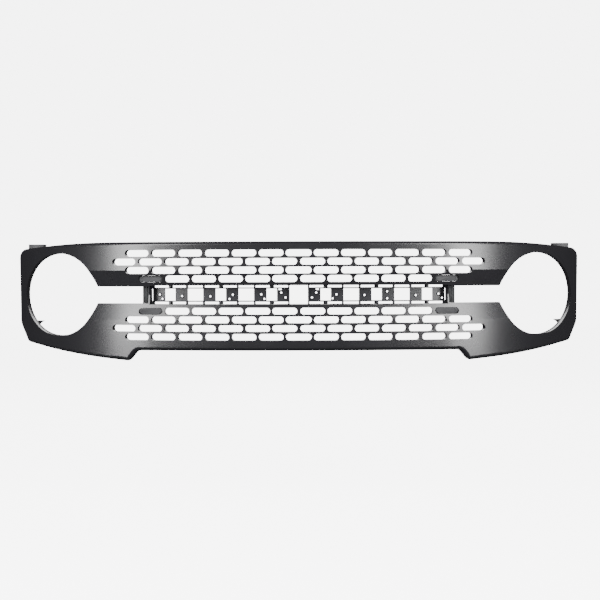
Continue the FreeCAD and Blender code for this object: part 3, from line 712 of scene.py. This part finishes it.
@dataclass
class PanScrews:
    """Self-tapping screws with a domed head and a cross recess, driven in from behind.

    Attributes:
        sides: Facets round the head.
        recess: Width of an arm of the cross as a share of the head's radius.
        reach: Length of an arm as a share of the head's radius.
        pitch: Distance between two turns of the thread, in metres.
        ridge: Radius of the thread's ridge, in metres.
        threaded: Share of the shank that carries the thread.
        thread_foot: Where the thread starts, as a share of the shank's length below the head.
        dome: Rise and shrink of each step of the domed head.
    """

    sides: int = 36
    recess: float = 0.25
    reach: float = 1.2
    pitch: float = 1.1 * MM
    ridge: float = 0.16 * MM
    threaded: float = 0.85
    thread_foot: float = 0.98
    dome: tuple[tuple[float, float], ...] = ((0.0, 0.94), (0.22, 0.9), (0.16, 0.8), (0.08, 0.62))

    def tree(self) -> RepeatTree:
        """Builds the tree that makes a screw and its copies.

        Returns:
            The tree, whose copies have the underside of the head on the vertex.
        """
        made = RepeatTree("pan_screws", ("Shank radius", "Length", "Head radius", "Head height"))
        shank, length = made.size("Shank radius"), made.size("Length")
        radius, height = made.size("Head radius"), made.size("Head height")
        rim = made.node(
            "GeometryNodeMeshCylinder", {"fill_type": "NGON"}, Vertices=self.sides, Radius=radius,
            Depth=made.times(height, 0.5),
        )
        shape, top = made.moved(rim.outputs["Mesh"], made.times(height, 0.25)), rim.outputs["Top"]
        for rise, shrink in self.dome:
            step = made.times(height, rise + 0.01)
            grown = made.node("GeometryNodeExtrudeMesh", Mesh=shape, Selection=top, Offset_Scale=step)
            top = grown.outputs["Top"]
            shape = made.node(
                "GeometryNodeScaleElements", Geometry=grown.outputs["Mesh"], Selection=top, Scale=shrink
            ).outputs[0]
        arms = []
        for wide, tall in ((self.recess, self.reach), (self.reach, self.recess)):
            size = made.node(
                "ShaderNodeCombineXYZ", X=made.times(radius, wide), Y=made.times(radius, tall), Z=height
            )
            block = made.node("GeometryNodeMeshCube", Size=size.outputs[0])
            arms.append(made.moved(block.outputs[0], height))
        cut = made.node("GeometryNodeMeshBoolean", {"operation": "DIFFERENCE", "solver": "EXACT"})
        made.feed(cut.inputs["Mesh 1"], shape)
        for arm in arms:
            made.tree.links.new(arm, cut.inputs["Mesh 2"])
        body = made.node(
            "GeometryNodeMeshCylinder", {"fill_type": "NGON"}, Vertices=self.sides, Radius=shank, Depth=length
        )
        stem = made.moved(body.outputs["Mesh"], made.times(length, -0.5))
        turns = made.node("ShaderNodeMath", {"operation": "DIVIDE"})
        made.feed(turns.inputs[0], made.times(length, self.threaded))
        turns.inputs[1].default_value = self.pitch
        coil = made.node(
            "GeometryNodeCurveSpiral", Resolution=20, Rotations=turns.outputs[0], Start_Radius=shank,
            End_Radius=shank, Height=made.times(length, self.threaded),
        )
        ridge = made.node("GeometryNodeCurvePrimitiveCircle", Resolution=4, Radius=self.ridge)
        thread = made.node(
            "GeometryNodeCurveToMesh", Curve=coil.outputs[0], Profile_Curve=ridge.outputs["Curve"],
            Fill_Caps=True,
        )
        whole = made.node("GeometryNodeJoinGeometry")
        raised = made.moved(thread.outputs[0], made.times(length, -self.thread_foot))
        for part in (cut.outputs["Mesh"], stem, raised):
            made.tree.links.new(part, whole.inputs[0])
        made.close(whole.outputs[0], Euler((math.radians(-90), 0, 0)))
        return made

    def build(
        self, node: str, slot: str, shank: float, height: float, tree: RepeatTree, palette: Palette
    ) -> bpy.types.Object:
        """Builds the screws of one node.

        Args:
            node: The design's node.
            slot: The material slot.
            shank: Radius of the shank, in metres.
            height: Height of the head, in metres.
            tree: The screws' tree.
            palette: The finishes.

        Returns:
            The finished piece.
        """
        boxes = separate_boxes(node)
        places = [Vector(((lo.x + hi.x) / 2, hi.y - height, (lo.z + hi.z) / 2)) for lo, hi in boxes]
        low, high = boxes[0]
        sizes = {
            "Shank radius": shank,
            "Length": high.y - low.y - height,
            "Head radius": (high.x - low.x) / 2,
            "Head height": height,
        }
        return tree.fill(node, places, sizes, slot, palette)


@dataclass
class FlangeBushes:
    """Plain steel bushes with rounded rims in the top flange.

    Attributes:
        node: The design's node.
        slot: The material slot.
        bore: Radius of the bore, in metres.
        rim: Rounding of the rims, in metres.
        sides: Facets round a bush.
    """

    node: str = "top_bolt_bushes"
    slot: str = "plated_steel"
    bore: float = 3.3 * MM
    rim: float = 0.4 * MM
    sides: int = 48

    def tree(self) -> RepeatTree:
        """Builds the tree that makes a bush and its copies.

        Returns:
            The tree, whose copies have their middle on the vertex.
        """
        made = RepeatTree("flange_bushes", ("Middle radius", "Wall", "Height"))
        wall = made.node(
            "GeometryNodeCurvePrimitiveQuadrilateral", Width=made.size("Wall"), Height=made.size("Height")
        )
        eased = made.node(
            "GeometryNodeFilletCurve", {"mode": "POLY"}, Curve=wall.outputs[0], Radius=self.rim, Count=3
        )
        round_path = made.node(
            "GeometryNodeCurvePrimitiveCircle", Resolution=self.sides, Radius=made.size("Middle radius")
        )
        tube = made.node(
            "GeometryNodeCurveToMesh", Curve=round_path.outputs["Curve"], Profile_Curve=eased.outputs[0]
        )
        made.close(tube.outputs[0], Euler((0, 0, 0)))
        return made

    def build(self, palette: Palette) -> bpy.types.Object:
        """Builds all the bushes as one piece.

        Args:
            palette: The finishes.

        Returns:
            The finished piece.
        """
        boxes = separate_boxes(self.node)
        low, high = boxes[0]
        outer = (high.x - low.x) / 2
        sizes = {
            "Middle radius": (outer + self.bore) / 2,
            "Wall": outer - self.bore,
            "Height": high.z - low.z,
        }
        places = [(low + high) / 2 for low, high in boxes]
        return self.tree().fill(self.node, places, sizes, self.slot, palette)


# ---------------------------------------------------------------- meshes


@dataclass
class RoundedPiece:
    """A piece with the design's own shape, whose edges are rounded as a mould or a press leaves them.

    Attributes:
        node: The design's node that it stands for.
        slot: The material slot.
        radius: Width of the rounding, in metres.
        segments: Facets across a rounding.
        sharpest: Edges that turn by more than this, in radians, are rounded.
    """

    node: str
    slot: str
    radius: float
    segments: int = 2
    sharpest: float = 0.6

    def build(self, palette: Palette) -> bpy.types.Object:
        """Makes the piece, rounds it, and puts it in the node's place.

        Args:
            palette: The finishes.

        Returns:
            The finished piece.
        """
        work = merged_copy(self.node)
        bmesh.ops.dissolve_limit(
            work, angle_limit=FLAT_WITHIN, verts=work.verts, edges=work.edges, delimit={"NORMAL"}
        )
        mesh = bpy.data.meshes.new(self.node + "_rounded")
        work.to_mesh(mesh)
        work.free()
        rough = bpy.data.objects.new(self.node + "_rough", mesh)
        bpy.context.scene.collection.objects.link(rough)
        bevel = rough.modifiers.new("rounding", "BEVEL")
        bevel.width = self.radius
        bevel.segments = self.segments
        bevel.limit_method = "ANGLE"
        bevel.angle_limit = self.sharpest
        bevel.use_clamp_overlap = True
        return joined_piece(rough, self.node, self.slot, palette)


def values_of(
    items: bpy.types.bpy_prop_collection, label: str, width: int, kind: type = np.float32
) -> np.ndarray:
    """Reads one property of every item of a mesh.

    Args:
        items: The items.
        label: Name of the property.
        width: How many numbers an item has.
        kind: Kind of number.

    Returns:
        The numbers, one row for each item.
    """
    flat = np.empty(len(items) * width, kind)
    items.foreach_get(label, flat)
    return flat.reshape(-1, width)


@dataclass
class FaceCurve:
    """The curved face of the grille, which gives every corner on it its true direction.

    Attributes:
        middle_radius: Radius of the plan curve about the middle, in metres.
        middle_half: Half the width of the middle arc.
        end_radius: Radius beyond it.
        slope: How much the two bevels by the band lean back.
        near: Cosine of the widest angle between a facet and the face that it belongs to.
        widest: Largest sine that the face can reach, just short of edge on.
    """

    middle_radius: float = 3.45
    middle_half: float = 0.385
    end_radius: float = 0.73
    slope: float = 13.0 / 40.15
    near: float = math.cos(math.radians(4.5))
    widest: float = 0.999

    def turn(self, across: np.ndarray) -> np.ndarray:
        """Angle that the face has turned through at each place.

        Args:
            across: Places across the grille, in metres.

        Returns:
            The angles in radians.
        """
        away = np.abs(across)
        inner = np.minimum(away, self.middle_half) / self.middle_radius
        outer = np.maximum(away - self.middle_half, 0.0) / self.end_radius
        return np.sign(across) * np.arcsin(np.clip(inner + outer, 0.0, self.widest))

    def smooth(self, mesh: bpy.types.Mesh) -> None:
        """Sets the directions of the corners on the face, its bevels and their backs.

        Args:
            mesh: The mesh, already shaded smooth.
        """
        corners = values_of(mesh.corner_normals, "vector", 3)
        places = values_of(mesh.vertices, "co", 3)
        owner = values_of(mesh.loops, "vertex_index", 1, np.int32).ravel()
        sides = values_of(mesh.polygons, "loop_total", 1, np.int32).ravel()
        facets = np.repeat(values_of(mesh.polygons, "normal", 3), sides, axis=0)
        turned = self.turn(places[owner, 0])
        for lean in (0.0, self.slope, -self.slope):
            leans = np.full_like(turned, lean)
            face = np.stack((np.sin(turned), -np.cos(turned), leans), axis=1)
            face /= math.hypot(1.0, lean)
            along = (facets * face).sum(axis=1)
            chosen = np.abs(along) > self.near
            corners[chosen] = face[chosen] * np.sign(along[chosen])[:, None]
        mesh.normals_split_custom_set(corners)


# ---------------------------------------------------------------- sub-assemblies


class Side(Enum):
    """The two ends of the grille, as seen from the front."""

    LEFT = "left"
    RIGHT = "right"


class Workshop:
    """What every sub-assembly is made with: the finishes, the material slots and the screws."""

    def __init__(self) -> None:
        """Gets the finishes, the slots and the screws ready."""
        self.palette = Palette()
        self.slots = {entry["node"]: entry["material_slot"] for entry in frame["record"]["subparts"]}
        self.screws = PanScrews()
        self.screw_tree = self.screws.tree()

    def rounded(self, node: str, radius: float) -> bpy.types.Object:
        """Makes a piece with the design's shape and rounded edges."""
        return RoundedPiece(node, self.slots[node], radius).build(self.palette)

    def screwed(self, node: str, shank: float, head: float) -> bpy.types.Object:
        """Makes the screws of a node, with their shank radius and head height."""
        return self.screws.build(node, self.slots[node], shank, head, self.screw_tree, self.palette)


@dataclass
class GrilleShell:
    """The one moulding that everything else is fixed to.

    Attributes:
        edge: Rounding of its edges, in metres.
        face: Its curved face.
    """

    edge: float = 0.4 * MM
    face: FaceCurve = field(default_factory=FaceCurve)

    def build(self, shop: Workshop) -> list[bpy.types.Object]:
        """Builds the shell and smooths its face.

        Args:
            shop: The workshop.

        Returns:
            The finished piece.
        """
        shell = shop.rounded("grille_shell", self.edge)
        self.face.smooth(shell.data)
        return [shell]


@dataclass
class LetterBand:
    """The two letter carriers and the screws through their ears.

    Attributes:
        edge: Rounding of the carriers' edges, in metres.
        screw_shank: Radius of a screw's shank.
        screw_head: Height of a screw's head.
        face: The curved face that the pads follow.
    """

    edge: float = 0.25 * MM
    screw_shank: float = 1.25 * MM
    screw_head: float = 2.0 * MM
    face: FaceCurve = field(default_factory=FaceCurve)

    def build(self, shop: Workshop) -> list[bpy.types.Object]:
        """Builds the carriers and their screws.

        Args:
            shop: The workshop.

        Returns:
            The finished pieces.
        """
        pieces = []
        for side in Side:
            carrier = shop.rounded("letter_carrier_" + side.value, self.edge)
            self.face.smooth(carrier.data)
            screws = shop.screwed("carrier_screws_" + side.value, self.screw_shank, self.screw_head)
            pieces += [carrier, screws]
        return pieces


@dataclass
class BandEnds:
    """The ribbed rubber buffers that close the ends of the band.

    Attributes:
        edge: Rounding of their edges, in metres.
    """

    edge: float = 0.5 * MM

    def build(self, shop: Workshop) -> list[bpy.types.Object]:
        """Builds a buffer at each end."""
        return [shop.rounded("lamp_bar_buffer_" + side.value, self.edge) for side in Side]


@dataclass
class SlotBlanks:
    """The four inserts that close a slot.

    Attributes:
        edge: Rounding of their edges, in metres.
        rows: The two rows that have one at each end.
    """

    edge: float = 0.25 * MM
    rows: tuple[str, ...] = ("upper", "lower")

    def build(self, shop: Workshop) -> list[bpy.types.Object]:
        """Builds a blank at each end of both rows."""
        ends = [f"{row}_{side.value}" for row in self.rows for side in Side]
        return [shop.rounded("slot_blank_" + end, self.edge) for end in ends]


@dataclass
class LampLocators:
    """The finned plates behind the lamp openings, with a screw in each.

    Attributes:
        edge: Rounding of the plates' edges, in metres.
        screw_shank: Radius of a screw's shank.
        screw_head: Height of a screw's head.
    """

    edge: float = 0.25 * MM
    screw_shank: float = 1.75 * MM
    screw_head: float = 2.8 * MM

    def build(self, shop: Workshop) -> list[bpy.types.Object]:
        """Builds the locators and their screws."""
        pieces = [shop.rounded("lamp_locator_" + side.value, self.edge) for side in Side]
        return pieces + [shop.screwed("locator_screws", self.screw_shank, self.screw_head)]


@dataclass
class CornerBrackets:
    """The brackets at the top corners, with their screws and weld nuts.

    Attributes:
        edge: Rounding of the edges, in metres.
        screw_shank: Radius of a screw's shank.
        screw_head: Height of a screw's head.
    """

    edge: float = 0.25 * MM
    screw_shank: float = 1.75 * MM
    screw_head: float = 2.8 * MM

    def build(self, shop: Workshop) -> list[bpy.types.Object]:
        """Builds the brackets, their screws and the nuts.

        Args:
            shop: The workshop.

        Returns:
            The finished pieces.
        """
        pieces = [shop.rounded("bracket_nuts", self.edge)]
        for side in Side:
            bracket = shop.rounded("corner_bracket_" + side.value, self.edge)
            screws = shop.screwed("bracket_screws_" + side.value, self.screw_shank, self.screw_head)
            pieces += [bracket, screws]
        return pieces


@dataclass
class TopFlange:
    """The steel bushes in the top flange.

    Attributes:
        bushes: The bushes.
    """

    bushes: FlangeBushes = field(default_factory=FlangeBushes)

    def build(self, shop: Workshop) -> list[bpy.types.Object]:
        """Builds the bushes."""
        return [self.bushes.build(shop.palette)]


@dataclass
class ChinClips:
    """The spring clips on the blades behind the chin.

    Attributes:
        edge: Rounding of their edges, in metres.
    """

    edge: float = 0.25 * MM

    def build(self, shop: Workshop) -> list[bpy.types.Object]:
        """Builds the clips."""
        return [shop.rounded("lower_spring_clips", self.edge)]


# ---------------------------------------------------------------- studio


@dataclass(frozen=True)
class Softbox:
    """A soft light that faces the grille and that the camera doesn't see.

    Attributes:
        name: Its name.
        angle: Degrees round from straight in front, to the right.
        size: Width and height, in metres.
        height: Height of its middle over the origin, in metres.
        watts: Power.
        reach: Distance from the grille, in metres.
    """

    name: str
    angle: float
    size: tuple[float, float]
    height: float
    watts: float
    reach: float = 2.6

    def build(self, aim: Vector) -> None:
        """Adds the light.

        Args:
            aim: The point that it faces.
        """
        data = bpy.data.lights.new(self.name, "AREA")
        data.shape = "RECTANGLE"
        data.size, data.size_y = self.size
        data.energy = self.watts
        lamp = bpy.data.objects.new(self.name, data)
        turn = math.radians(self.angle)
        lamp.location = (self.reach * math.sin(turn), -self.reach * math.cos(turn), self.height)
        lamp.rotation_euler = (aim - Vector(lamp.location)).to_track_quat("-Z", "Y").to_euler()
        lamp.visible_camera = False
        bpy.context.scene.collection.objects.link(lamp)


@dataclass
class Studio:
    """Floor, backdrop, soft lights and camera.

    Attributes:
        distance: From the foremost line of the face to the lens, in metres.
        height: Lens above the middle of the letter band, in metres.
        band_drop: Middle of the letter band below the origin, in metres.
        face_front: Foremost line of the face in front of the origin, in metres.
        floor_drop: Floor below the lowest point of the grille, in metres.
        lens: Focal length, in millimetres.
        roll: Turn of the camera about its own axis, in radians.
        shift: Shift of the picture sideways and up, as a share of its width.
        pale: Grey value of the floor and the backdrop.
        glow: Strength of their own light, which only the camera sees.
        softboxes: The lights, a tall one on each side and a weak one over the back.
    """

    distance: float = 2.170
    height: float = 0.057
    band_drop: float = 0.1414
    face_front: float = 0.0508
    floor_drop: float = 0.45
    lens: float = 49.95
    roll: float = 0.0031
    shift: tuple[float, float] = (0.0022, -0.0445)
    pale: float = 0.9
    glow: float = 6.0
    softboxes: tuple[Softbox, ...] = (
        Softbox("softbox_left", -41.0, (0.9, 2.4), 0.6, 130.0),
        Softbox("softbox_right", 41.0, (0.9, 2.4), 0.6, 130.0),
        Softbox("softbox_back", 180.0, (2.4, 1.2), 1.4, 50.0),
    )

    def build(self) -> None:
        """Makes everything in the studio."""
        self.camera()
        self.surroundings()
        for softbox in self.softboxes:
            softbox.build(Vector((0, 0, -self.band_drop)))

    def camera(self) -> None:
        """Looks straight at the grille from a little above its middle."""
        data = bpy.data.cameras.new("camera")
        data.lens = self.lens
        data.sensor_width = 36.0
        data.shift_x, data.shift_y = self.shift
        data.clip_end = 60.0
        camera = bpy.data.objects.new("camera", data)
        camera.location = (0.0, -self.face_front - self.distance, self.height - self.band_drop)
        camera.rotation_euler = Euler((math.radians(90), self.roll, 0.0))
        bpy.context.scene.collection.objects.link(camera)
        bpy.context.scene.camera = camera

    def plane(self, name: str, size: float, place: Vector, turn: float) -> None:
        """Adds a plain pale surface that isn't part of the grille.

        Args:
            name: Its name.
            size: Its width.
            place: Its middle.
            turn: Turn about X in degrees.
        """
        mesh = bpy.data.meshes.new(name)
        half = size / 2
        corners = [(-half, -half, 0), (half, -half, 0), (half, half, 0), (-half, half, 0)]
        mesh.from_pydata(corners, [], [(0, 1, 2, 3)])
        mesh.transform(Matrix.Translation(place) @ Matrix.Rotation(math.radians(turn), 4, "X"))
        surface = bpy.data.objects.new(name, mesh)
        bpy.context.scene.collection.objects.link(surface)
        material = bpy.data.materials.new(name)
        material.use_nodes = True
        shader = material.node_tree.nodes["Principled BSDF"]
        shader.inputs["Base Color"].default_value = (self.pale, self.pale, self.pale, 1.0)
        shader.inputs["Roughness"].default_value = 0.9
        shader.inputs["Emission Color"].default_value = (1.0, 1.0, 1.0, 1.0)
        shader.inputs["Emission Strength"].default_value = self.glow
        mesh.materials.append(material)
        surface.visible_diffuse = False
        surface.visible_glossy = False
        surface.visible_transmission = False
        surface.visible_shadow = False

    def surroundings(self) -> None:
        """Adds the pale floor, the pale wall behind, and an even dim light all round."""
        low = CAD_BOX[0].z - self.floor_drop
        self.plane("floor", 24.0, Vector((0, 0, low)), 0.0)
        self.plane("backdrop", 30.0, Vector((0, 9.0, 0)), 90.0)
        world = bpy.data.worlds.new("studio")
        world.use_nodes = True
        background = world.node_tree.nodes["Background"]
        background.inputs["Color"].default_value = (0.93, 0.94, 1.0, 1.0)
        background.inputs["Strength"].default_value = 0.05
        bpy.context.scene.world = world


def report(piece: bpy.types.Object) -> None:
    """Logs a finished piece."""
    LOG.info("%s: %d faces", piece.name, len(piece.data.polygons))


def main() -> None:
    """Builds the studio and every sub-assembly."""
    Studio().build()
    shop = Workshop()
    assemblies = (
        GrilleShell(), LetterBand(), BandEnds(), SlotBlanks(), LampLocators(), CornerBrackets(), TopFlange(),
        ChinClips(),
    )
    for assembly in assemblies:
        for piece in assembly.build(shop):
            report(piece)


if __name__ == "__main__":
    logging.basicConfig(level=logging.INFO, format="%(message)s")
    main()
